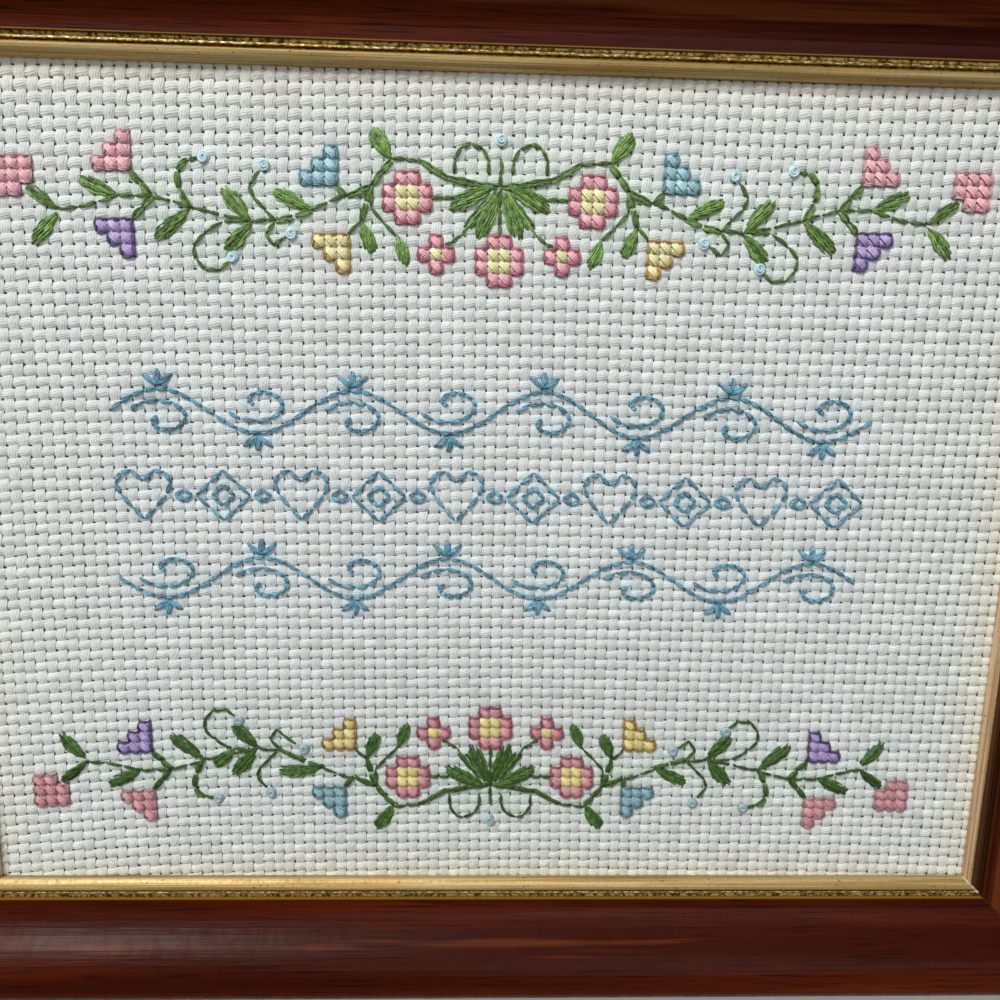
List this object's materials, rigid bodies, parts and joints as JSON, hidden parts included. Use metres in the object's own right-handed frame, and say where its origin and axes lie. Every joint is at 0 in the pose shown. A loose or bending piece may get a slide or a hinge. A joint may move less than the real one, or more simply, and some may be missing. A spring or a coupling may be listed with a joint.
{
  "type": "framed embroidered sign",
  "caption": "Small stitched cloth panel held flat behind a gilt slip in a mitred dark wooden frame, with a backing board let into the back.",
  "frame": {"origin": "centre of the frame's back plane, on which the sign lies", "axes": "+X to the right across the sign's face, +Y up its face, +Z out of the face"},
  "size_m": [0.216, 0.178, 0.0156],
  "materials": {
    "white_aida": "matt even-weave cotton",
    "embroidery_floss": "stranded cotton in greens, pinks, yellows, violet and blues",
    "mahogany": "stained and varnished",
    "gilt": "gold leaf, satin",
    "grey_board": "plain pressed board"
  },
  "bodies": {
    "root": {"stitched_cloth": "white_aida", "backing_board": "grey_board", "rail_top": "mahogany", "rail_left": "mahogany", "rail_bottom": "mahogany", "rail_right": "mahogany", "slip_top": "gilt", "slip_left": "gilt", "slip_bottom": "gilt", "slip_right": "gilt"}
  },
  "joints": []
}
